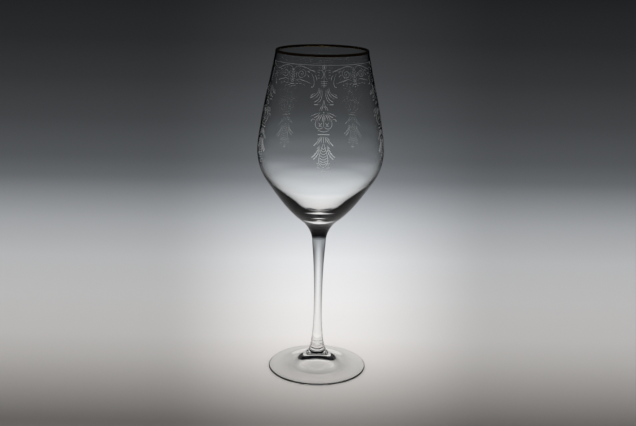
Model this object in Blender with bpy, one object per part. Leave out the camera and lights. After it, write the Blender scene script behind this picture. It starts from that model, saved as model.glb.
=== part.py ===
"""Stemmed wine goblet of clear glass: a tapering bowl drawn down to a short neck, a slender stem, a domed foot
and a fired gold band over the lip. It stands on a table with its axis on Z. Metres, +Z up."""

import math

import bmesh
import bpy
from mathutils import Vector
from mathutils.geometry import interpolate_bezier

for old in list(bpy.data.objects):
    bpy.data.objects.remove(old, do_unlink=True)

# Heights of the three glass pieces, stacked on one another
HUB_HEIGHT = 0.0186
STEM_LENGTH = 0.0811
BOWL_HEIGHT = 0.1353

# Foot: a plate with a rounded edge that stands on a narrow ring
FOOT_RADIUS = 0.0357
FOOT_EDGE = 0.0013
EDGE_ROUND = 0.0008
EDGE_LEAN = 83.0
RESTING_RING = 0.0014

# Underside of the foot: how high its middle is hollowed, then radius, height and lean of two places further out
FOOT_HOLLOW = 0.0060
HOLLOW_SIDE = (0.0100, 0.0030, 104.0)
HOLLOW_SKIRT = (0.0200, 0.0011, 97.0)

# Top of the foot: radius, height and lean where the plate rises to its crown
PLATE = (0.0250, 0.0029, -74.5)
CROWN = (0.0150, 0.0069, -67.0)
FILLET = (0.0110, 0.0089, -54.0)

# Shank of the foot under the stem: radius, drop below the hub's top and lean
SHANK = (0.0069, 0.0058, -37.5)
COLLAR = (0.0054, 0.0024, -19.5)
HUB_RADIUS = 0.0048
HUB_LEAN = -27.0

# Stem: narrowest at the waist, thicker towards both joints
WAIST_RADIUS = 0.0029
WAIST_LEVEL = 0.0305
NECK_RADIUS = 0.0052
STEM_LEAN = -9.5
NECK_LEAN = 6.0

# Bowl: flared out of the neck, widest at the belly, drawn in to the rim. Levels count from the neck or the belly
KNEE_RADIUS = 0.0136
KNEE_LEVEL = 0.0140
KNEE_LEAN = 52.0
FLANK_INSET = 0.0070
FLANK_DROP = 0.0227
FLANK_LEAN = 34.5
BELLY_RADIUS = 0.04455
BELLY_LEVEL = 0.0652
SHOULDER_INSET = 0.0021
SHOULDER_RISE = 0.0172
SHOULDER_LEAN = -8.0
RIM_RADIUS = 0.0320
RIM_LEAN = -10.5

# Wall of the bowl: thin from the lip to the belly
RIM_WALL = 0.0011
SHOULDER_WALL = 0.0012
BELLY_WALL = 0.0012

# Inside of the bowl below the belly: inset from the belly's radius, drop below the belly and lean
TURN_INSIDE = (0.0036, 0.0121, 19.5)
FLANK_INSIDE = (0.0107, 0.0242, 39.0)
CONE_INSIDE = (0.0205, 0.0352, 44.5)

# Thick base of the bowl: radius, level above the neck and lean where the inside rounds off, then its middle
BASE_INSIDE = (0.0099, 0.0195, 65.5)
BASE_THICKNESS = 0.0170

# Gold band: a film that wraps the lip inside and out, clear of the glass by a hair
GILT_HEIGHT = 0.0010
GILT_FILM = 0.00012
GILT_GAP = 0.00003

# How far a line keeps straight at each of its places, as a share of the way to the next
HANDLE_REACH = 0.34
SEGMENTS = 48

NECK_HEIGHT = HUB_HEIGHT + STEM_LENGTH
BELLY_HEIGHT = NECK_HEIGHT + BELLY_LEVEL
LIP_HEIGHT = NECK_HEIGHT + BOWL_HEIGHT - GILT_FILM - GILT_GAP


def curve(stations, steps):
    """Points of a smooth line through (radius, height, lean) stations. The lean is the line's angle from the
    axis in degrees, positive outwards, in the direction of travel."""
    points = []
    for (r0, z0, lean0), (r1, z1, lean1) in zip(stations, stations[1:]):
        reach = math.hypot(r1 - r0, z1 - z0) * HANDLE_REACH
        start, end = Vector((r0, z0)), Vector((r1, z1))
        leave = Vector((math.sin(math.radians(lean0)), math.cos(math.radians(lean0)))) * reach
        arrive = Vector((math.sin(math.radians(lean1)), math.cos(math.radians(lean1)))) * reach
        points += interpolate_bezier(start, start + leave, end - arrive, end, steps + 1)[:-1]
    return points + [end]


def lip_line(offset):
    """The gilded lip from its outer face over the round top to its inner face, moved out of the glass by the
    offset."""
    half = RIM_WALL / 2
    middle = Vector((RIM_RADIUS - half, LIP_HEIGHT - half))
    spread = GILT_HEIGHT * math.tan(math.radians(-RIM_LEAN))
    turns = [math.pi * step / 8 for step in range(9)]
    top = [middle + Vector((math.cos(turn), math.sin(turn))) * (half + offset) for turn in turns]
    outer = middle + Vector((half + spread + offset, -GILT_HEIGHT))
    inner = middle + Vector((spread - half - offset, -GILT_HEIGHT))
    return [outer] + top + [inner]


def glass(name):
    material = bpy.data.materials.new(name)
    material.use_nodes = True
    shader = material.node_tree.nodes["Principled BSDF"]
    shader.inputs["Base Color"].default_value = (0.96, 0.98, 0.98, 1)
    shader.inputs["Roughness"].default_value = 0.02
    shader.inputs["IOR"].default_value = 1.5
    shader.inputs["Transmission Weight"].default_value = 1
    return material


def gold(name):
    material = bpy.data.materials.new(name)
    material.use_nodes = True
    shader = material.node_tree.nodes["Principled BSDF"]
    shader.inputs["Base Color"].default_value = (0.80, 0.58, 0.24, 1)
    shader.inputs["Metallic"].default_value = 1
    shader.inputs["Roughness"].default_value = 0.2
    return material


def turned(name, outline, closed, material):
    """A solid turned about Z from an outline of (radius, height) points: closed, or with both ends on the axis."""
    mesh = bpy.data.meshes.new(name)
    shape = bmesh.new()
    corners = [shape.verts.new((point[0], 0, point[1])) for point in outline]
    pairs = list(zip(corners, corners[1:]))
    if closed:
        pairs.append((corners[-1], corners[0]))
    edges = [shape.edges.new(pair) for pair in pairs]
    bmesh.ops.spin(
        shape, geom=corners + edges, cent=(0, 0, 0), axis=(0, 0, 1), angle=math.tau, steps=SEGMENTS, use_merge=True
    )
    bmesh.ops.remove_doubles(shape, verts=shape.verts, dist=1e-6)
    bmesh.ops.recalc_face_normals(shape, faces=shape.faces)
    shape.to_mesh(mesh)
    shape.free()
    mesh.materials.append(material)
    bpy.context.scene.collection.objects.link(bpy.data.objects.new(name, mesh))


# Foot: the hollow underside, the flat resting ring, the rounded edge, then the plate, the shank and the hub
ring_outer = FOOT_RADIUS - EDGE_ROUND
ring_inner = ring_outer - RESTING_RING
shank = (SHANK[0], HUB_HEIGHT - SHANK[1], SHANK[2])
collar = (COLLAR[0], HUB_HEIGHT - COLLAR[1], COLLAR[2])
edge_top = (ring_outer, FOOT_EDGE, -EDGE_LEAN)
underside = curve([(0, FOOT_HOLLOW, 90), HOLLOW_SIDE, HOLLOW_SKIRT, (ring_inner, 0, 90)], 4)
edge = curve([(ring_outer, 0, EDGE_LEAN), (FOOT_RADIUS, FOOT_EDGE / 2, 0), edge_top], 3)
top = curve([edge_top, PLATE, CROWN, FILLET, shank, collar, (HUB_RADIUS, HUB_HEIGHT, HUB_LEAN)], 4)
turned("foot", underside + edge + top[1:] + [Vector((0, HUB_HEIGHT))], False, glass("foot_glass"))

# Stem: from the hub's flat top to the neck's flat underside
neck = (NECK_RADIUS, NECK_HEIGHT, NECK_LEAN)
stem_side = curve(
    [(HUB_RADIUS, HUB_HEIGHT, STEM_LEAN), (WAIST_RADIUS, HUB_HEIGHT + WAIST_LEVEL, 0), neck], 9
)
turned("stem", [Vector((0, HUB_HEIGHT))] + stem_side + [Vector((0, NECK_HEIGHT))], False, glass("stem_glass"))

# Bowl: the neck's flare, the cone, the belly and the tapering wall, over the lip and down the inside
lip = lip_line(0)
shoulder = (BELLY_RADIUS - SHOULDER_INSET, BELLY_HEIGHT + SHOULDER_RISE, SHOULDER_LEAN)
outside = curve(
    [
        neck,
        (KNEE_RADIUS, NECK_HEIGHT + KNEE_LEVEL, KNEE_LEAN),
        (BELLY_RADIUS - FLANK_INSET, BELLY_HEIGHT - FLANK_DROP, FLANK_LEAN),
        (BELLY_RADIUS, BELLY_HEIGHT, 0),
        shoulder,
        (lip[0][0], lip[0][1], RIM_LEAN),
    ],
    6,
)
below_belly = [
    (BELLY_RADIUS - inset, BELLY_HEIGHT - drop, 180 + lean)
    for inset, drop, lean in (TURN_INSIDE, FLANK_INSIDE, CONE_INSIDE)
]
inside = curve(
    [
        (lip[-1][0], lip[-1][1], 180 + RIM_LEAN),
        (shoulder[0] - SHOULDER_WALL, shoulder[1], 180 + SHOULDER_LEAN),
        (BELLY_RADIUS - BELLY_WALL, BELLY_HEIGHT, 180),
        *below_belly,
        (BASE_INSIDE[0], NECK_HEIGHT + BASE_INSIDE[1], 180 + BASE_INSIDE[2]),
        (0, NECK_HEIGHT + BASE_THICKNESS, 270),
    ],
    5,
)
turned("bowl", [Vector((0, NECK_HEIGHT))] + outside + lip[1:-1] + inside, False, glass("bowl_glass"))

# Gold band: one face along the glass of the lip, the other a film's thickness away
turned("rim_band", lip_line(GILT_GAP) + lip_line(GILT_GAP + GILT_FILM)[::-1], True, gold("rim_gold"))
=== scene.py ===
import math

import bpy
from mathutils import Matrix


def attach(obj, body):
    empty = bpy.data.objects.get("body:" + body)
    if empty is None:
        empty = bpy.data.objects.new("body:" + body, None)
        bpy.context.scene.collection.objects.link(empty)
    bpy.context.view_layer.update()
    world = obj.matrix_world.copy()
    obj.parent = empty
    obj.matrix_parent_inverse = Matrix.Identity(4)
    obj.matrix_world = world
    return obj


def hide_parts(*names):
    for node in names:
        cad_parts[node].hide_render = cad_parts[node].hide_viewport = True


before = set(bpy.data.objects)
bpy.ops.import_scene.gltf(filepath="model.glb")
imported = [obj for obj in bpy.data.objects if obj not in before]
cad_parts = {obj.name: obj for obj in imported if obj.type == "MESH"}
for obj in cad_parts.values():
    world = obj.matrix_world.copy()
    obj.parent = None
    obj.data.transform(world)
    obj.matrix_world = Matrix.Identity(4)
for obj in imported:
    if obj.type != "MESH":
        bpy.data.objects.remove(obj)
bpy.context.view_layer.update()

# Foot. A round plate of clear glass pressed from a gather, its top drawn up into a hub that the stem is
# fused to. The edge is fire-polished round, and the middle of the underside is hollow, so that the goblet
# stands on a ring.
FOOT_RADIUS = 0.0357
FOOT_EDGE = 0.0013
EDGE_ROUND = 0.0008
LOWER_EDGE_LEAN, UPPER_EDGE_LEAN = 85, -83
HUB_RADIUS = 0.0048
HUB_HEIGHT = 0.0186
HUB_LEAN = -27.0
# Radius, height and lean along the underside, from its middle to the resting ring
UNDERSIDE = [(0, 0.0060, 90), (0.0100, 0.0030, 104), (0.0200, 0.0011, 97), (0.0335, 0, 90)]
# The same along the top, from the plate over its crown up to the collar under the hub
PLATE_TOP = [
    (0.0250, 0.0029, -74.5),
    (0.0150, 0.0069, -67.0),
    (0.0110, 0.0089, -54.0),
    (0.0069, 0.0128, -37.5),
    (0.0054, 0.0162, -19.5),
]
# How far an outline keeps straight at each station, as a share of the way to the next
HANDLE_REACH = 0.34
FOOT_STEPS, FOOT_SEGMENTS = 16, 192
SMOOTH_ANGLE = math.radians(40)
CLOSE_SEAM = 1e-6
# Sockets of a Mix node that is set to colours
MIX_SHARE, MIX_FIRST, MIX_SECOND, MIX_RESULT = 0, 6, 7, 2
GLASS_TINT = (0.992, 0.997, 0.995, 1)
SMEARED_TINT = (0.982, 0.989, 0.988, 1)
GLEAM_TINT = (0.12, 0.12, 0.12, 1)
GLASS_IOR = 1.5
RIPPLE_DETAIL = 1.0
SMEAR_SCALE, SMEAR_DETAIL, SMEAR_EDGE = 45.0, 4.0, (0.50, 0.72)
SMEAR_ROUGHNESS = 0.012
# Pressing ripples the glass alike in all directions
PRESSED_STRETCH, PRESSED_SCALE, PRESSED_DEPTH = (1, 1, 1), 60, 0.00002


def draw_outline(name, stations, steps, closed=False):
    """A Bezier outline in the XZ plane through (radius, height, lean in, lean out) stations, made a chain of
    edges. The lean is the line's angle from the axis in degrees, outwards, in the direction of travel."""
    bpy.ops.object.select_all(action="DESELECT")
    bpy.ops.curve.primitive_bezier_curve_add(location=(0, 0, 0))
    outline = bpy.context.object
    outline.name = name
    outline.data.dimensions = "3D"
    outline.data.resolution_u = steps
    line = outline.data.splines[0]
    line.bezier_points.add(len(stations) - len(line.bezier_points))
    line.use_cyclic_u = closed
    for number, station in enumerate(stations):
        radius, height, lean_in, lean_out = station if len(station) == 4 else (*station, station[2])
        knot = line.bezier_points[number]
        knot.handle_left_type = knot.handle_right_type = "FREE"
        knot.co = (radius, 0, height)
        for side, lean, sign in (("left", lean_in, -1), ("right", lean_out, 1)):
            other = stations[(number + sign) % len(stations)]
            reach = HANDLE_REACH * math.hypot(other[0] - radius, other[1] - height) * sign
            turn = math.radians(lean)
            handle = (radius + math.sin(turn) * reach, 0, height + math.cos(turn) * reach)
            setattr(knot, "handle_" + side, handle)
    bpy.ops.object.convert(target="MESH")
    return bpy.context.object


def turn_on_axis(segments):
    """Spins the active outline once round the goblet's axis, closes seam and poles, and turns the faces
    outwards."""
    bpy.ops.object.mode_set(mode="EDIT")
    bpy.ops.mesh.select_all(action="SELECT")
    bpy.ops.mesh.spin(steps=segments, angle=math.tau, center=(0, 0, 0), axis=(0, 0, 1))
    bpy.ops.mesh.select_all(action="SELECT")
    bpy.ops.mesh.remove_doubles(threshold=CLOSE_SEAM)
    bpy.ops.mesh.normals_make_consistent(inside=False)
    bpy.ops.object.mode_set(mode="OBJECT")
    bpy.ops.object.shade_smooth_by_angle(angle=SMOOTH_ANGLE)


def map_range(nodes, value_range, result_range):
    """A Map Range node from one pair of values to another."""
    node = nodes.new("ShaderNodeMapRange")
    node.inputs["From Min"].default_value, node.inputs["From Max"].default_value = value_range
    node.inputs["To Min"].default_value, node.inputs["To Max"].default_value = result_range
    return node


def two_tones(nodes, first, second):
    """A Mix node from one colour to another."""
    node = nodes.new("ShaderNodeMix")
    node.data_type = "RGBA"
    node.inputs[MIX_FIRST].default_value = first
    node.inputs[MIX_SECOND].default_value = second
    return node


def making_marks():
    """What the making leaves on glass: a ripple drawn along the way it was worked, and soft smears from
    wiping."""
    marks = bpy.data.node_groups.new("making_marks", "ShaderNodeTree")
    for socket, way, kind in (
        ("Place", "INPUT", "NodeSocketVector"),
        ("Ripple Scale", "INPUT", "NodeSocketFloat"),
        ("Smear Scale", "INPUT", "NodeSocketFloat"),
        ("Ripple", "OUTPUT", "NodeSocketFloat"),
        ("Smear", "OUTPUT", "NodeSocketFloat"),
    ):
        marks.interface.new_socket(socket, in_out=way, socket_type=kind)
    entry, leave = marks.nodes.new("NodeGroupInput"), marks.nodes.new("NodeGroupOutput")
    ripple, smear = marks.nodes.new("ShaderNodeTexNoise"), marks.nodes.new("ShaderNodeTexNoise")
    ripple.inputs["Detail"].default_value = RIPPLE_DETAIL
    smear.inputs["Detail"].default_value = SMEAR_DETAIL
    edge = map_range(marks.nodes, SMEAR_EDGE, (0, 1))
    for noise, scale in ((ripple, "Ripple Scale"), (smear, "Smear Scale")):
        marks.links.new(entry.outputs["Place"], noise.inputs["Vector"])
        marks.links.new(entry.outputs[scale], noise.inputs["Scale"])
    marks.links.new(smear.outputs["Fac"], edge.inputs["Value"])
    marks.links.new(ripple.outputs["Fac"], leave.inputs["Ripple"])
    marks.links.new(edge.outputs["Result"], leave.inputs["Smear"])
    return marks


def clear_glass(name, stretch, ripple_scale, ripple_depth):
    """Clear glass with a ripple stretched along the way this piece was worked."""
    glass = bpy.data.materials.new(name)
    glass.use_nodes = True
    nodes, links = glass.node_tree.nodes, glass.node_tree.links
    shader = nodes["Principled BSDF"]
    shader.inputs["IOR"].default_value = GLASS_IOR
    shader.inputs["Transmission Weight"].default_value = 1
    shader.inputs["Specular Tint"].default_value = GLEAM_TINT
    place, spread = nodes.new("ShaderNodeTexCoord"), nodes.new("ShaderNodeMapping")
    spread.inputs["Scale"].default_value = stretch
    marks = nodes.new("ShaderNodeGroup")
    marks.node_tree = glass_marks
    marks.inputs["Ripple Scale"].default_value = ripple_scale
    marks.inputs["Smear Scale"].default_value = SMEAR_SCALE
    bump = nodes.new("ShaderNodeBump")
    bump.inputs["Distance"].default_value = ripple_depth
    haze = map_range(nodes, (0, 1), (0, SMEAR_ROUGHNESS))
    tint = two_tones(nodes, GLASS_TINT, SMEARED_TINT)
    links.new(place.outputs["Object"], spread.inputs["Vector"])
    links.new(spread.outputs["Vector"], marks.inputs["Place"])
    links.new(marks.outputs["Ripple"], bump.inputs["Height"])
    links.new(bump.outputs["Normal"], shader.inputs["Normal"])
    links.new(marks.outputs["Smear"], haze.inputs["Value"])
    links.new(haze.outputs["Result"], shader.inputs["Roughness"])
    links.new(marks.outputs["Smear"], tint.inputs[MIX_SHARE])
    links.new(tint.outputs[MIX_RESULT], shader.inputs["Base Color"])
    return glass


def fused_joint():
    """Where two gathers are fused there is no surface, so the faces that meet there let light straight
    through."""
    joint = bpy.data.materials.new("fused_joint")
    joint.use_nodes = True
    nodes = joint.node_tree.nodes
    nodes.remove(nodes["Principled BSDF"])
    through = nodes.new("ShaderNodeBsdfTransparent")
    joint.node_tree.links.new(through.outputs["BSDF"], nodes["Material Output"].inputs["Surface"])
    return joint


def dress_glass(piece, glass, *joint_levels):
    """Glass all over, apart from the flat faces at the levels where the piece is fused to the next."""
    piece.data.materials.append(glass)
    piece.data.materials.append(joint_glass)
    for face in piece.data.polygons:
        heights = [piece.data.vertices[corner].co.z for corner in face.vertices]
        if any(max(abs(height - level) for height in heights) < CLOSE_SEAM for level in joint_levels):
            face.material_index = 1


glass_marks = making_marks()
joint_glass = fused_joint()
ring_outer = FOOT_RADIUS - EDGE_ROUND
foot_edge = [
    (ring_outer, 0, 90, LOWER_EDGE_LEAN),
    (FOOT_RADIUS, FOOT_EDGE / 2, 0),
    (ring_outer, FOOT_EDGE, UPPER_EDGE_LEAN),
]
hub_top = [(HUB_RADIUS, HUB_HEIGHT, HUB_LEAN, -90), (0, HUB_HEIGHT, -90)]
foot = draw_outline("foot_glass", UNDERSIDE + foot_edge + PLATE_TOP + hub_top, FOOT_STEPS)
turn_on_axis(FOOT_SEGMENTS)
pressed_glass = clear_glass("pressed_glass", PRESSED_STRETCH, PRESSED_SCALE, PRESSED_DEPTH)
dress_glass(foot, pressed_glass, HUB_HEIGHT)
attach(foot, "root")
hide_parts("foot")

# Stem. A rod of clear glass drawn out by hand, thinnest below its middle, and fused hot to the hub and to
# the bowl. Drawing leaves its ripple along the rod.
WAIST_RADIUS = 0.00293
WAIST_HEIGHT = 0.0491
NECK_RADIUS = 0.0052
NECK_HEIGHT = 0.0997
STEM_LEAN = -9.5
NECK_LEAN = 6.0
STEM_STEPS, STEM_SEGMENTS = 32, 128
DRAWN_STRETCH, DRAWN_SCALE, DRAWN_DEPTH = (1, 1, 0.1), 300, 0.000004

stem_outline = [
    (0, HUB_HEIGHT, 90),
    (HUB_RADIUS, HUB_HEIGHT, 90, STEM_LEAN),
    (WAIST_RADIUS, WAIST_HEIGHT, 0),
    (NECK_RADIUS, NECK_HEIGHT, NECK_LEAN, -90),
    (0, NECK_HEIGHT, -90),
]
stem = draw_outline("stem_glass", stem_outline, STEM_STEPS)
turn_on_axis(STEM_SEGMENTS)
drawn_glass = clear_glass("drawn_glass", DRAWN_STRETCH, DRAWN_SCALE, DRAWN_DEPTH)
dress_glass(stem, drawn_glass, HUB_HEIGHT, NECK_HEIGHT)
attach(stem, "root")
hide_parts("stem")

# Bowl. Blown clear glass, solid at the bottom, where it flares out of the stem. The wall then thins to the
# lip. It was blown into a turned mould, which leaves its faint rings.
KNEE = (0.01364, 0.11368, 52.1)
FLANK = (0.03751, 0.14224, 34.7)
BELLY = (0.04455, 0.1649, 0)
SHOULDER = (0.0425, 0.1821, -8.2)
RIM_RADIUS = 0.0320
RIM_WALL = 0.0011
RIM_LEAN = -10.3
LIP_HEIGHT = 0.23485
GILT_HEIGHT = 0.0010
# The inside from the shoulder down to the middle of the bottom, where the wall has grown to a thick base
HOLLOW = [
    (0.04143, 0.1821, 171.8),
    (0.04270, 0.1735, 172.3),
    (0.04335, 0.1649, 180.9),
    (0.04238, 0.1570, 192.8),
    (0.03960, 0.1490, 206.4),
    (0.03434, 0.1410, 218.2),
    (0.02790, 0.1335, 222.5),
    (0.02152, 0.1270, 227.3),
    (0.01013, 0.1192, 246.1),
    (0, 0.1169, 270.0),
]
BOWL_STEPS, BOWL_SEGMENTS = 16, 192
BLOWN_STRETCH, BLOWN_SCALE, BLOWN_DEPTH = (1, 1, 3), 40, 0.00002

lip_half = RIM_WALL / 2
lip_middle = (RIM_RADIUS - lip_half, LIP_HEIGHT - lip_half)
gilt_spread = GILT_HEIGHT * math.tan(math.radians(-RIM_LEAN))


def lip_stations(offset):
    """The lip's line from its outer face over the round top to its inner face, moved out by the offset."""
    middle, height = lip_middle
    half = lip_half + offset
    return [
        (middle + half + gilt_spread, height - GILT_HEIGHT, RIM_LEAN),
        (middle + half, height, RIM_LEAN, 0),
        (middle, height + half, -90),
        (middle - half, height, 180, 180 + RIM_LEAN),
        (middle - half + gilt_spread, height - GILT_HEIGHT, 180 + RIM_LEAN),
    ]


bowl_foot = [(0, NECK_HEIGHT, 90), (NECK_RADIUS, NECK_HEIGHT, 90, NECK_LEAN)]
bowl_outline = bowl_foot + [KNEE, FLANK, BELLY, SHOULDER] + lip_stations(0) + HOLLOW
bowl = draw_outline("bowl_glass", bowl_outline, BOWL_STEPS)
turn_on_axis(BOWL_SEGMENTS)
blown_glass = clear_glass("blown_glass", BLOWN_STRETCH, BLOWN_SCALE, BLOWN_DEPTH)
dress_glass(bowl, blown_glass, NECK_HEIGHT)
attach(bowl, "root")
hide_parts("bowl")

# Gold band. Bright gold painted over the lip with a brush and fired, a film that wraps it inside and out.
# It is thinner and redder where the brush left less.
GILT_FILM = 0.00012
GILT_GAP = 0.00003
# The film's inner face lies a hair inside the glass
GILT_SUNK = -0.00003
GILT_STEPS = 10
GOLD_BRIGHT = (0.83, 0.60, 0.25, 1)
GOLD_THIN = (0.62, 0.41, 0.15, 1)
BRUSH_SCALE, BRUSH_DETAIL, BRUSH_STRETCH = 350.0, 5.0, (1, 1, 4)
BRUSH_EDGE = (0.42, 0.68)
BRUSH_RELIEF, BRUSH_DEPTH = 0.4, 0.00002
GOLD_ROUGHNESS = (0.06, 0.18)

film_out = lip_stations(GILT_FILM + GILT_GAP)
film_in = [
    (radius, height, 180 + leans[-1], 180 + leans[0])
    for radius, height, *leans in reversed(lip_stations(GILT_SUNK))
]
gilt = draw_outline("rim_gold", film_out + film_in, GILT_STEPS, closed=True)
turn_on_axis(BOWL_SEGMENTS)
gold = bpy.data.materials.new("fired_gold")
gold.use_nodes = True
nodes, links = gold.node_tree.nodes, gold.node_tree.links
shader = nodes["Principled BSDF"]
shader.inputs["Metallic"].default_value = 1
place, spread = nodes.new("ShaderNodeTexCoord"), nodes.new("ShaderNodeMapping")
spread.inputs["Scale"].default_value = BRUSH_STRETCH
brush = nodes.new("ShaderNodeTexNoise")
brush.inputs["Scale"].default_value = BRUSH_SCALE
brush.inputs["Detail"].default_value = BRUSH_DETAIL
wear = map_range(nodes, BRUSH_EDGE, (0, 1))
tone = two_tones(nodes, GOLD_BRIGHT, GOLD_THIN)
polish = map_range(nodes, (0, 1), GOLD_ROUGHNESS)
bump = nodes.new("ShaderNodeBump")
bump.inputs["Strength"].default_value = BRUSH_RELIEF
bump.inputs["Distance"].default_value = BRUSH_DEPTH
links.new(place.outputs["Object"], spread.inputs["Vector"])
links.new(spread.outputs["Vector"], brush.inputs["Vector"])
links.new(brush.outputs["Fac"], wear.inputs["Value"])
links.new(brush.outputs["Fac"], bump.inputs["Height"])
links.new(bump.outputs["Normal"], shader.inputs["Normal"])
links.new(wear.outputs["Result"], tone.inputs[MIX_SHARE])
links.new(tone.outputs[MIX_RESULT], shader.inputs["Base Color"])
links.new(wear.outputs["Result"], polish.inputs["Value"])
links.new(polish.outputs["Result"], shader.inputs["Roughness"])
gilt.data.materials.append(gold)
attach(gilt, "root")
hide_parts("rim_band")

# Etched ornament. A scroll frieze below the lip and five hanging pendants, bitten into the outer face with
# acid through a resist, so that the strokes are matt and pale. Each stroke is a thin frosted ribbon lying in
# the face.
REPEATS = 5
FIRST_PENDANT = 2.3
NIB_WIDTH = 0.00028
STROKE_STEPS = 5
ETCH_DEPTH = 0.00006
# Most of a ribbon's thickness lies inside the glass
SKIN_OFFSET = -0.4
# How the width of a stroke runs from its start over its middle to its end, in nib widths
PRESSURE = {
    "line": (0.7, 1.0, 0.7),
    "dash": (0.8, 1.0, 0.8),
    "leaf": (0.3, 1.4, 0.3),
    "tip": (0.5, 0.9, 1.9),
    "bar": (1.5, 1.6, 1.5),
    "bead": (1.2, 2.6, 1.2),
    "bud": (1.0, 3.2, 1.0),
}
DEEP_STROKES = ("bar", "bead")
# The strokes widen from the frieze down to the tip of the pendant, and their frost cover rises there as
# painted light, for the light the lower strokes catch from the bright floor
FRIEZE_LEVEL, TIP_LEVEL = 228.1, 158.8
FRIEZE_PRESS, TIP_PRESS = 0.42, 1.5
PRESS_GAIN = 2.2
# Share of the frost skin at the frieze and at the tip. Its rise to the tip is painted light from the floor
FINE_COVER = (0.38, 0.82)
DEEP_COVER = (0.40, 0.82)
# The bed of a stroke inside the glass is almost clear. Its slots follow those of the strokes
BED_COVER = (0.01, 0.02)
BED_SLOTS = 2
# Seen from inside, through the wall, the frost is fainter, and at a glancing look the gloss wins
SEEN_THROUGH = 0.40
GLANCE_RANGE, GLANCING = (0.4, 0.8), 0.35
FROST_DARK = (0.78, 0.81, 0.82, 1)
FROST_PALE = (0.92, 0.94, 0.94, 1)
ACID_SCALE, ACID_DETAIL, ACID_RANGE = 2600.0, 3.0, (0.3, 0.7)
ACID_COVER, ACID_ROUGHNESS = (0.8, 1.2), (0.55, 0.85)
ACID_RELIEF, ACID_DEPTH = 0.5, 0.00002
MM_PER_METRE = 1000
# Strokes in millimetres: across from the pendant's axis, and up from the table. The pairs are drawn on both
# sides of the axis
PENDANT_PAIRS = [
    ("line", (2.2, 225), (0.8, 224.3), (0.6, 221.3), (1.9, 219.1)),
    ("dash", (2.9, 224.9), (4.2, 225)),
    ("dash", (2.9, 223.5), (4.2, 223.6)),
    ("dash", (2.9, 221.8), (4.2, 221.8)),
    ("dash", (2.9, 220), (4.2, 220)),
    ("leaf", (5.5, 223.1), (6.7, 224.2), (9.9, 224.6)),
    ("tip", (8.2, 222.6), (7.2, 220.9), (6.5, 218.1), (6.5, 215.9), (7.3, 214.3), (8.4, 214.1)),
    ("leaf", (5.9, 222), (5, 220.1), (4.7, 218.1)),
    ("tip", (3.3, 213.9), (3.8, 211.4), (5.5, 209.2), (8.8, 207.2)),
    ("leaf", (2.7, 213.3), (3, 210.8), (4.4, 208.3), (7.2, 206.4)),
    ("leaf", (5.9, 210.1), (8.1, 209), (8.9, 207.4)),
    ("tip", (2, 212.8), (2.3, 209.2), (3.5, 206.5), (6.1, 204.6)),
    ("leaf", (1.2, 212.2), (1.4, 208.2), (2.5, 205.5), (4.4, 203.9)),
    ("tip", (2.4, 203), (2.8, 203)),
    ("bar", (3.8, 203), (6.4, 203)),
    ("line", (0.2, 205.8), (0.8, 202.5), (2.2, 200.7), (2.7, 199.2)),
    ("leaf", (0.1, 202.1), (1, 200.9), (1.5, 199.2)),
    ("tip", (2.3, 197.9), (3.9, 196), (6.1, 194.7)),
    ("leaf", (3.1, 197.9), (5.8, 196.7), (8.4, 195.4)),
    ("tip", (5.5, 193.1), (6.6, 193.7), (7.9, 193.2), (8.2, 192.3)),
    ("line", (4.4, 194.3), (5.4, 191.4), (5.3, 189.2), (4, 187.7), (2, 187.6), (0.6, 188.3)),
    ("line", (1.1, 191.4), (2.2, 190.2), (3.3, 191.5)),
    ("leaf", (1.3, 188.9), (2.4, 189.5), (3.5, 189)),
    ("leaf", (0.6, 197), (2, 195.1), (3.1, 192.5)),
    ("leaf", (1.7, 196.9), (3.3, 195.1), (4.4, 192.1)),
    ("leaf", (0.4, 196), (0.8, 194.1), (0.8, 192.2)),
    ("line", (1, 182.5), (1.4, 180.6), (1.5, 178.6)),
    ("tip", (2, 182.5), (3.3, 180.1), (4.9, 178.1), (6.5, 176.4)),
    ("leaf", (1.6, 181.9), (2.6, 179.5), (4.3, 177.1)),
    ("dash", (3.3, 181.2), (3.9, 180.2)),
    ("tip", (2.8, 176.9), (3.3, 174.3), (4.8, 171.5), (7.8, 168.6)),
    ("tip", (2.3, 175.9), (3, 173), (4.4, 169.9), (6.6, 167.3)),
    ("dash", (3.3, 175.6), (4.3, 174.5)),
    ("dash", (3.7, 173.8), (4.9, 172.6)),
    ("dash", (4.5, 172.2), (6, 170.9)),
    ("dash", (3.1, 174), (2.6, 172.9)),
    ("dash", (3.7, 172), (3.3, 170.6)),
    ("dash", (4.7, 170.2), (4.4, 168.9)),
    ("line", (0.3, 177.7), (1.2, 174.9), (2.2, 171.6), (3, 167.7), (2.8, 165), (1.3, 162.7)),
    ("tip", (3, 164.4), (4.3, 164.8)),
    ("dash", (3, 163.2), (3.8, 163.3)),
    ("tip", (2.3, 161.7), (4.2, 162)),
    ("line", (0.3, 225.4), (1, 225.9), (1.2, 227.4), (0.3, 228.1)),
]
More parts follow.
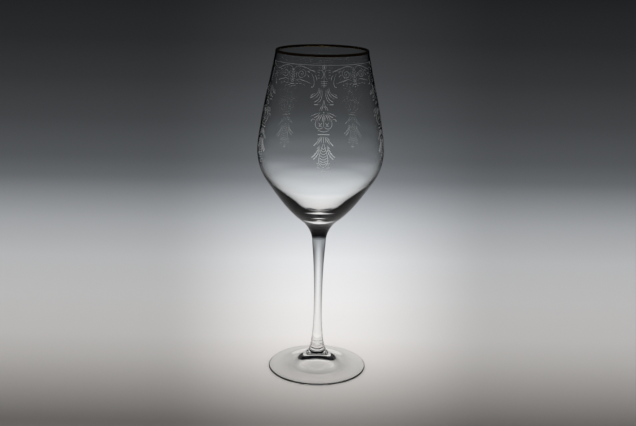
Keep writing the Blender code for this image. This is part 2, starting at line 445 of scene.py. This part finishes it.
PENDANT_MIDDLE = [
    ("line", (0, 223.6), (0, 218.7), (0, 213.7)),
    ("dash", (-2.2, 217.8), (0, 217.7), (2.3, 217.9)),
    ("dash", (-1.9, 216.6), (0, 216.4), (2, 216.6)),
    ("dash", (-1.7, 215.2), (0, 215.1), (1.8, 215.3)),
    ("bead", (0, 198.3), (0, 197.7)),
    ("line", (0, 196.9), (0, 193.2), (0, 188.6)),
    ("line", (-3.7, 186.5), (0, 185.6), (3.7, 186.5)),
    ("bar", (-3.8, 183.8), (3.8, 183.8)),
    ("line", (0, 182.4), (0, 178.3)),
    ("dash", (-1, 175.2), (0, 174.2), (1, 175.2)),
    ("dash", (-1.4, 173.6), (0, 172.6), (1.4, 173.6)),
    ("dash", (-1.8, 171.9), (0, 170.8), (1.8, 171.9)),
    ("dash", (-2.1, 170.1), (0, 169.1), (2.2, 170.1)),
    ("dash", (-2.4, 168.4), (0, 167.3), (2.5, 168.5)),
    ("dash", (-2.5, 166.6), (0, 165.6), (2.6, 166.6)),
    ("dash", (-2.1, 165), (0, 164), (2.2, 165.1)),
    ("bead", (0, 162.6), (0, 161.9)),
    ("bead", (0, 160.7), (0, 160.2)),
    ("tip", (-1.2, 159.4), (0, 158.8), (1.2, 159.4)),
    ("bud", (0, 227.8), (0, 226.8), (0, 225.6)),
]
# The same for the stretch of frieze between two pendants, from its own axis
FRIEZE_PAIRS = [
    ("leaf", (15.7, 224.2), (12.3, 225), (8.7, 226.3), (5.2, 227.1), (2.3, 226.7), (0.6, 225.3)),
    ("line", (7.1, 225.3), (8.8, 223.8), (9, 221.6), (7.7, 220.1), (5.8, 219.9), (4.5, 220.9),
     (4.3, 222.4), (5.1, 223.6), (6.3, 223.9), (7.3, 223.3), (7.5, 222.2), (7, 221.5), (6.2, 221.4)),
    ("bead", (6.2, 222), (6.2, 222.4)),
    ("tip", (9.4, 223.9), (10.6, 224), (11.5, 223.2)),
    ("tip", (9.7, 221.8), (10.8, 221.5), (11.4, 220.5)),
    ("leaf", (13.5, 216.3), (10.8, 217.3), (8, 218), (4.9, 218.7), (2.5, 217.7)),
    ("tip", (3.2, 219.6), (2.7, 221.2), (3, 223.1)),
    ("dash", (0.2, 224.2), (0.6, 224.6), (1, 225.4)),
    ("dash", (0.2, 222.6), (0.9, 223.1), (1.5, 223.9)),
    ("dash", (0.2, 221.1), (1.1, 221.5), (1.9, 222.3)),
    ("dash", (0.2, 219.6), (1.1, 220), (2, 220.8)),
    ("dash", (0.2, 218), (1, 218.4), (1.8, 219.2)),
    ("dash", (0.2, 216.7), (0.8, 217.1), (1.3, 217.9)),
    ("tip", (3.1, 215.8), (4.5, 215.6)),
    ("dash", (5.7, 215.9), (7.2, 216.2)),
    ("dash", (8.6, 215.7), (9.6, 215)),
    ("dash", (1.6, 214.3), (2.7, 214.5)),
]
FRIEZE_MIDDLE = [
    ("line", (-20.9, 228.1), (-17.4, 228.1), (-14, 228.1), (-10.4, 228.1), (-6.9, 228.1), (-3.5, 228.1),
     (0, 228.1), (3.5, 228.1), (7, 228.1), (10.4, 228.1), (14, 228.1), (17.5, 228.1), (20.9, 228.1)),
    ("bead", (0, 213.6), (0, 214.1)),
    ("line", (0, 226.3), (0, 221.6), (0, 216.7)),
    ("bar", (-1.7, 215.5), (1.8, 215.5)),
]


def frosted(name, cover):
    """Etched glass: a pale matt skin that lets part of the light through, broken up by the grain of the
    acid. The cover is the skin's share at the frieze and at the tip; its rise towards the tip is painted
    light."""
    frost = bpy.data.materials.new(name)
    frost.use_nodes = True
    nodes, links = frost.node_tree.nodes, frost.node_tree.links
    shader = nodes["Principled BSDF"]
    place, grain = nodes.new("ShaderNodeTexCoord"), nodes.new("ShaderNodeTexNoise")
    grain.inputs["Scale"].default_value = ACID_SCALE
    grain.inputs["Detail"].default_value = ACID_DETAIL
    links.new(place.outputs["Object"], grain.inputs["Vector"])
    split, side = nodes.new("ShaderNodeSeparateXYZ"), nodes.new("ShaderNodeNewGeometry")
    links.new(place.outputs["Object"], split.inputs["Vector"])
    glance = nodes.new("ShaderNodeLayerWeight")
    # Painted light: the skin's cover rises from the frieze to the tip, so the lower strokes look lit by the
    # floor
    painted_glow_cover = map_range(nodes, (FRIEZE_LEVEL / MM_PER_METRE, TIP_LEVEL / MM_PER_METRE), cover)
    broken = map_range(nodes, ACID_RANGE, ACID_COVER)
    behind = map_range(nodes, (0, 1), (1, SEEN_THROUGH))
    glossy = map_range(nodes, GLANCE_RANGE, (1, GLANCING))
    links.new(split.outputs["Z"], painted_glow_cover.inputs["Value"])
    links.new(grain.outputs["Fac"], broken.inputs["Value"])
    links.new(side.outputs["Backfacing"], behind.inputs["Value"])
    links.new(glance.outputs["Facing"], glossy.inputs["Value"])
    covered = painted_glow_cover.outputs["Result"]
    for share in (broken, behind, glossy):
        fainter = nodes.new("ShaderNodeMath")
        fainter.operation = "MULTIPLY"
        links.new(covered, fainter.inputs[0])
        links.new(share.outputs["Result"], fainter.inputs[1])
        covered = fainter.outputs[0]
    links.new(covered, shader.inputs["Alpha"])
    matt = map_range(nodes, ACID_RANGE, ACID_ROUGHNESS)
    links.new(grain.outputs["Fac"], matt.inputs["Value"])
    links.new(matt.outputs["Result"], shader.inputs["Roughness"])
    chalk = two_tones(nodes, FROST_DARK, FROST_PALE)
    links.new(grain.outputs["Fac"], chalk.inputs[MIX_SHARE])
    links.new(chalk.outputs[MIX_RESULT], shader.inputs["Base Color"])
    bump = nodes.new("ShaderNodeBump")
    bump.inputs["Strength"].default_value = ACID_RELIEF
    bump.inputs["Distance"].default_value = ACID_DEPTH
    links.new(grain.outputs["Fac"], bump.inputs["Height"])
    links.new(bump.outputs["Normal"], shader.inputs["Normal"])
    return frost


def straight_nib():
    """A short straight line that the strokes are drawn with, so that each becomes a flat ribbon."""
    bpy.ops.object.select_all(action="DESELECT")
    bpy.ops.curve.primitive_bezier_curve_add(location=(0, 0, 0))
    nib = bpy.context.object
    nib.name = "nib"
    nib.data.resolution_u = 1
    for knot, side in zip(nib.data.splines[0].bezier_points, (-0.5, 0.5)):
        knot.handle_left_type = knot.handle_right_type = "VECTOR"
        knot.co = (side * NIB_WIDTH, 0, 0)
    return nib


def stroke_width(kind, run, up):
    """The width in nibs at a run of 0 to 2 along a stroke of this kind, at a height in millimetres."""
    start, half_way, end = PRESSURE[kind]
    press = start + (half_way - start) * run if run < 1 else half_way + (end - half_way) * (run - 1)
    drop = (FRIEZE_LEVEL - up) / (FRIEZE_LEVEL - TIP_LEVEL)
    return press * (FRIEZE_PRESS + (TIP_PRESS - FRIEZE_PRESS) * drop ** PRESS_GAIN)


def draw_strokes(name, pairs, middle):
    """Draws the strokes flat, lays the ribbons on the front of the bowl and gives them a thickness."""
    bpy.ops.object.select_all(action="DESELECT")
    bpy.ops.curve.primitive_bezier_curve_add(location=(0, 0, 0))
    drawing = bpy.context.object
    drawing.name = name
    drawing.data.dimensions = "2D"
    drawing.data.resolution_u = STROKE_STEPS
    drawing.data.bevel_mode = "OBJECT"
    drawing.data.bevel_object = nib
    drawing.data.splines.clear()
    for finish in (fine_etch, deep_etch, etch_bed, etch_bed):
        drawing.data.materials.append(finish)
    strokes = [(kind, points, side) for kind, *points in pairs for side in (-1, 1)]
    strokes += [(kind, points, 1) for kind, *points in middle]
    for kind, points, side in strokes:
        if len(points) == 2:
            half_way = tuple((start + end) / 2 for start, end in zip(*points))
            points = [points[0], half_way, points[1]]
        stroke = drawing.data.splines.new("BEZIER")
        stroke.bezier_points.add(len(points) - 1)
        stroke.material_index = 1 if kind in DEEP_STROKES else 0
        for number, (knot, (across, up)) in enumerate(zip(stroke.bezier_points, points)):
            knot.handle_left_type = knot.handle_right_type = "AUTO"
            knot.co = (side * across / MM_PER_METRE, up / MM_PER_METRE, 0)
            knot.radius = stroke_width(kind, 2 * number / (len(points) - 1), up)
    bpy.ops.object.convert(target="MESH")
    ribbons = bpy.context.object
    ribbons.rotation_euler = (math.pi / 2, 0, 0)
    ribbons.location = (0, -2 * BELLY[0], 0)
    bpy.ops.object.transform_apply(location=True, rotation=True, scale=True)
    lay = ribbons.modifiers.new("lay_on_the_bowl", "SHRINKWRAP")
    lay.target = bowl
    lay.wrap_method = "PROJECT"
    lay.use_project_y = True
    lay.use_positive_direction = True
    bpy.ops.object.modifier_apply(modifier=lay.name)
    bpy.ops.object.mode_set(mode="EDIT")
    bpy.ops.mesh.select_all(action="DESELECT")
    bpy.ops.object.mode_set(mode="OBJECT")
    for face in ribbons.data.polygons:
        face.select = face.normal.y > 0
    bpy.ops.object.mode_set(mode="EDIT")
    bpy.ops.mesh.flip_normals()
    bpy.ops.object.mode_set(mode="OBJECT")
    skin = ribbons.modifiers.new("etched_skin", "SOLIDIFY")
    skin.thickness = ETCH_DEPTH
    skin.offset = SKIN_OFFSET
    skin.material_offset = skin.material_offset_rim = BED_SLOTS
    bpy.ops.object.modifier_apply(modifier=skin.name)
    return ribbons


def repeat_round(motif, first_turn):
    """Turns the motif to its place and copies it round the bowl, each copy with its own mesh."""
    pieces = [motif]
    motif.rotation_euler = (0, 0, math.radians(first_turn))
    bpy.ops.object.transform_apply(location=True, rotation=True, scale=True)
    for number in range(1, REPEATS):
        bpy.ops.object.select_all(action="DESELECT")
        motif.select_set(True)
        bpy.context.view_layer.objects.active = motif
        bpy.ops.object.duplicate(linked=False)
        copy = bpy.context.object
        copy.name = f"{motif.name}_{number + 1}"
        copy.rotation_euler = (0, 0, number * math.tau / REPEATS)
        bpy.ops.object.transform_apply(location=True, rotation=True, scale=True)
        pieces.append(copy)
    for piece in pieces:
        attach(piece, "root")


fine_etch, deep_etch = frosted("fine_etch", FINE_COVER), frosted("deep_etch", DEEP_COVER)
etch_bed = frosted("etch_bed", BED_COVER)
nib = straight_nib()
repeat_round(draw_strokes("etched_pendant", PENDANT_PAIRS, PENDANT_MIDDLE), FIRST_PENDANT)
repeat_round(draw_strokes("etched_frieze", FRIEZE_PAIRS, FRIEZE_MIDDLE), FIRST_PENDANT + 180 / REPEATS)
bpy.data.objects.remove(nib, do_unlink=True)

# Floor. A pale paper sweep under the goblet, with a pool of light painted into its colour, brightest a
# hand's breadth behind it and dimmer away from there. What the glass shows of it, through its walls or
# mirrored, is painted apart and draws the outline of the glass.
FLOOR_RADIUS = 9.0
FLOOR_CORNERS = 96
FLOOR_GAP = 0.00005
# Painted light along the sweep: the paper's brightness by metres behind the goblet's axis
SWEEP = [
    (-0.45, 0.03),
    (-0.17, 0.066),
    (-0.09, 0.22),
    (-0.055, 0.39),
    (0.01, 0.68),
    (0.055, 0.80),
    (0.14, 0.835),
    (0.25, 0.80),
    (0.38, 0.61),
    (0.58, 0.235),
    (0.70, 0.16),
    (1.0, 0.10),
    (1.5, 0.063),
    (2.3, 0.041),
    (6.7, 0.018),
]
# The painted cast of the light, warm in front and cool at the back
WARM_CAST, WARM_END = (1.07, 1, 0.94, 1), -0.12
COOL_CAST, COOL_END = (0.94, 1, 1.07, 1), 0.60
# The sweep's near end lies this far in front of the axis. The ramp starts one first step behind it and runs
# over two tenfold steps
NEAR_END = 0.6975
FIRST_STEP = 0.1
TENFOLD_STEPS = 2
# Across the sweep the painted light falls off to both sides from its middle, in metres aside for each metre
# from a little before the near end. It has a width seen straight, two through the glass, where the floor is
# near and where it is far off, and one in what the glass mirrors
SLANT_START = 0.02
SWEEP_MIDDLE = 0.0086
PLAIN_WIDTH = 0.186
NEAR_WIDTH = 0.14
THROUGH_WIDTH = 0.40
MIRRORED_WIDTH = 0.085
# Outside the picture the paper keeps an even light: at both sides, far off and in front of the goblet
EVEN_LIGHT, EVEN_BLEND = 0.58, 0.1
WIDE_START, WIDE_END = 0.33, 0.80
SIDES_START, SIDES_END = 0.15, 0.0
SIDES_NEAR, SIDES_FAR = 0.22, 0.45
OPEN_START, OPEN_END = 0.60, 0.80
FRONT_START, FRONT_END, FRONT_LIGHT = -0.09, -0.17, 0.40
# Beyond both sides of the picture the floor is painted dark where the glass shows it, standing in for dark
# cards behind the goblet, and draws the black outline of the glass
DARK_SIDES_START, DARK_SIDES_END, DARK_SIDES_LEVEL = 0.37, 0.42, 0.02
# How far from the foot the floor counts as far off, and how much of its brightness is kept there in the
# painted reflection in the glass
FAR_START, FAR_END, FAR_MIRRORED = 0.40, 0.66, 0.5
# Painted on the paper under the foot, where the glass shows it: a shade of the hub, and light gathered by
# the plate round it
SHADE_LEVEL, SHADE_START, SHADE_END = 0.88, 0.004, 0.016
GATHERED_LEVEL, PLATE_START, PLATE_END = 1.18, 0.036, 0.050
# Seen through the glass, the far end of the floor is painted dimmer
ROOM_START, ROOM_END, ROOM_LEVEL = 0.62, 1.25, 0.58

bpy.ops.object.select_all(action="DESELECT")
bpy.ops.mesh.primitive_circle_add(
    vertices=FLOOR_CORNERS, radius=FLOOR_RADIUS, fill_type="NGON", location=(0, 0, -FLOOR_GAP)
)
floor = bpy.context.object
floor.name = "floor"
paper = bpy.data.materials.new("floor_paper")
paper.use_nodes = True
nodes, links = paper.node_tree.nodes, paper.node_tree.links
shader = nodes["Principled BSDF"]
shader.inputs["Roughness"].default_value = 1.0
shader.inputs["Specular IOR Level"].default_value = 0.0


def maths(operation, *values):
    """A Math node in the tree at hand, with its values or links, and its result."""
    node = nodes.new("ShaderNodeMath")
    node.operation = operation
    for socket, value in zip(node.inputs, values):
        if isinstance(value, (int, float)):
            socket.default_value = value
        else:
            links.new(value, socket)
    return node.outputs[0]


def smooth_step(value, value_range, result_range):
    """A soft step in the tree at hand from one result to another, and its result."""
    node = map_range(nodes, value_range, result_range)
    node.interpolation_type = "SMOOTHSTEP"
    links.new(value, node.inputs["Value"])
    return node.outputs["Result"]


def between(share, plain, other):
    """From plain at a share of 0 to other at a share of 1."""
    return maths("ADD", plain, maths("MULTIPLY", share, maths("SUBTRACT", other, plain)))


def colours(blend, share, first, second):
    """A Mix node in the tree at hand for two colours, and its result."""
    node = nodes.new("ShaderNodeMix")
    node.data_type = "RGBA"
    node.blend_type = blend
    for number, value in ((MIX_SHARE, share), (MIX_FIRST, first), (MIX_SECOND, second)):
        if isinstance(value, (int, float, tuple)):
            node.inputs[number].default_value = value
        else:
            links.new(value, node.inputs[number])
    return node.outputs[MIX_RESULT]


def sweep_mark(behind):
    """Where a place lies along the ramp, from 0 to 1."""
    return math.log10((behind + NEAR_END) / FIRST_STEP) / TENFOLD_STEPS


place, split = nodes.new("ShaderNodeTexCoord"), nodes.new("ShaderNodeSeparateXYZ")
links.new(place.outputs["Object"], split.inputs["Vector"])
from_end = maths("MAXIMUM", maths("ADD", split.outputs["Y"], NEAR_END), FIRST_STEP)
mark = maths("DIVIDE", maths("LOGARITHM", maths("DIVIDE", from_end, FIRST_STEP), 10), TENFOLD_STEPS)
# The painted pool of light, by place along the sweep
ramp = nodes.new("ShaderNodeValToRGB")
spots = ramp.color_ramp.elements
spots.remove(spots[-1])
for number, (behind, level) in enumerate(SWEEP):
    spot = spots.new(sweep_mark(behind)) if number else spots[0]
    spot.position = sweep_mark(behind)
    spot.color = (level, level, level, 1)
links.new(mark, ramp.inputs["Fac"])
turning = map_range(nodes, (sweep_mark(WARM_END), sweep_mark(COOL_END)), (0, 1))
links.new(mark, turning.inputs["Value"])
cast = colours("MIX", turning.outputs["Result"], WARM_CAST, COOL_CAST)

path, away = nodes.new("ShaderNodeLightPath"), nodes.new("ShaderNodeVectorMath")
away.operation = "LENGTH"
links.new(place.outputs["Object"], away.inputs[0])
distance = away.outputs["Value"]
mirrored = maths("MINIMUM", path.outputs["Glossy Depth"], 1)
through = maths("MINIMUM", path.outputs["Transmission Depth"], 1)
far_off = smooth_step(distance, (FAR_START, FAR_END), (0, 1))
width = between(through, PLAIN_WIDTH, between(far_off, NEAR_WIDTH, THROUGH_WIDTH))
width = between(mirrored, width, MIRRORED_WIDTH)
# Painted light falling off to both sides, its width set by the kind of ray
slant = maths("DIVIDE", split.outputs["X"], maths("ADD", from_end, SLANT_START))
aside = maths("DIVIDE", maths("SUBTRACT", slant, SWEEP_MIDDLE), width)
light = maths("DIVIDE", 1, maths("ADD", maths("MULTIPLY", aside, aside), 1))
outwards = maths("ABSOLUTE", slant)
unmirrored = maths("SUBTRACT", 1, mirrored)
sides = smooth_step(split.outputs["Y"], (SIDES_END, SIDES_START), (1, 0))
sides = maths("MULTIPLY", sides, smooth_step(distance, (SIDES_NEAR, SIDES_FAR), (0, 1)))
beyond = smooth_step(distance, (OPEN_START, OPEN_END), (0, 1))
open_floor = maths("MULTIPLY", maths("MAXIMUM", sides, beyond), unmirrored)
open_floor = maths("MAXIMUM", path.outputs["Is Camera Ray"], open_floor)
even_light = maths("MULTIPLY", smooth_step(outwards, (WIDE_START, WIDE_END), (EVEN_LIGHT, 1)), open_floor)
light = maths("SMOOTH_MAX", light, even_light, EVEN_BLEND)
front = maths("MULTIPLY", smooth_step(split.outputs["Y"], (FRONT_END, FRONT_START), (1, 0)), unmirrored)
light = between(front, light, EVEN_LIGHT)
level = maths("ADD", ramp.outputs["Color"], maths("MULTIPLY", front, FRONT_LIGHT))
# Painted shade: dark sides of the floor, seen only through the glass or in what it mirrors
painted_dark_sides = between(open_floor, smooth_step(outwards, (DARK_SIDES_START, DARK_SIDES_END), (1, DARK_SIDES_LEVEL)), 1)
# Painted reflection: the far floor is dimmer in what the glass mirrors
mirror_share = between(maths("MULTIPLY", mirrored, far_off), 1, FAR_MIRRORED)
# Painted shade: the far floor is dimmer through the glass
room_share = between(through, 1, smooth_step(distance, (ROOM_START, ROOM_END), (1, ROOM_LEVEL)))
# Painted shade and light under the foot, seen through the glass
under_foot = maths("MULTIPLY", smooth_step(distance, (PLATE_START, PLATE_END), (1, 0)), through)
gathered = smooth_step(distance, (SHADE_START, SHADE_END), (SHADE_LEVEL, GATHERED_LEVEL))
foot_share = between(under_foot, 1, gathered)
for share in (level, painted_dark_sides, mirror_share, room_share, foot_share):
    light = maths("MULTIPLY", light, share)
links.new(colours("MULTIPLY", 1, cast, light), shader.inputs["Base Color"])
floor.data.materials.append(paper)

# Studio light. A plain white dome lights every matt surface, and the glass sees a dark room above the floor,
# as it does between soft boxes. The wall round the floor is plain grey, but not behind the goblet.
DARK_ROOM = (0.004, 0.004, 0.005, 1)
GREY_WALL = (0.25, 0.25, 0.25, 1)
WHITE_DOME = (1, 1, 1, 1)
# How far towards the back a look goes, from 0 to 1, where the wall ends
WALL_END = (0.2, 0.5)

world = bpy.data.worlds.new("studio")
bpy.context.scene.world = world
world.use_nodes = True
world.cycles.sampling_method = "NONE"
nodes, links = world.node_tree.nodes, world.node_tree.links
path, look = nodes.new("ShaderNodeLightPath"), nodes.new("ShaderNodeTexCoord")
split = nodes.new("ShaderNodeSeparateXYZ")
links.new(look.outputs["Generated"], split.inputs["Vector"])
on_matt = maths("MINIMUM", path.outputs["Diffuse Depth"], 1)
unmirrored = maths("SUBTRACT", 1, maths("MINIMUM", path.outputs["Glossy Depth"], 1))
wall = maths("MULTIPLY", smooth_step(split.outputs["Y"], WALL_END, (1, 0)), unmirrored)
room = colours("MIX", wall, DARK_ROOM, GREY_WALL)
links.new(colours("MIX", on_matt, room, WHITE_DOME), nodes["Background"].inputs["Color"])

# Camera. It stands a good arm's length in front of the goblet and above its lip, and looks down on it, held
# a degree off level.
CAMERA_PLACE = (-0.00106, -0.688, 0.31202)
LOOK_DOWN = math.radians(15.724)
OFF_LEVEL = math.radians(1.0)
FOCAL_LENGTH, SENSOR_WIDTH = 56.45, 36
NEAREST = 0.01

lens = bpy.data.cameras.new("camera")
lens.sensor_width = SENSOR_WIDTH
lens.lens = FOCAL_LENGTH
lens.clip_start = NEAREST
camera = bpy.data.objects.new("camera", lens)
bpy.context.scene.collection.objects.link(camera)
camera.location = CAMERA_PLACE
aim = Matrix.Rotation(math.pi / 2 - LOOK_DOWN, 3, "X") @ Matrix.Rotation(OFF_LEVEL, 3, "Z")
camera.rotation_euler = aim.to_euler()
bpy.context.scene.camera = camera
bpy.context.scene.view_settings.view_transform = "Standard"
bpy.context.scene.cycles.blur_glossy = 0
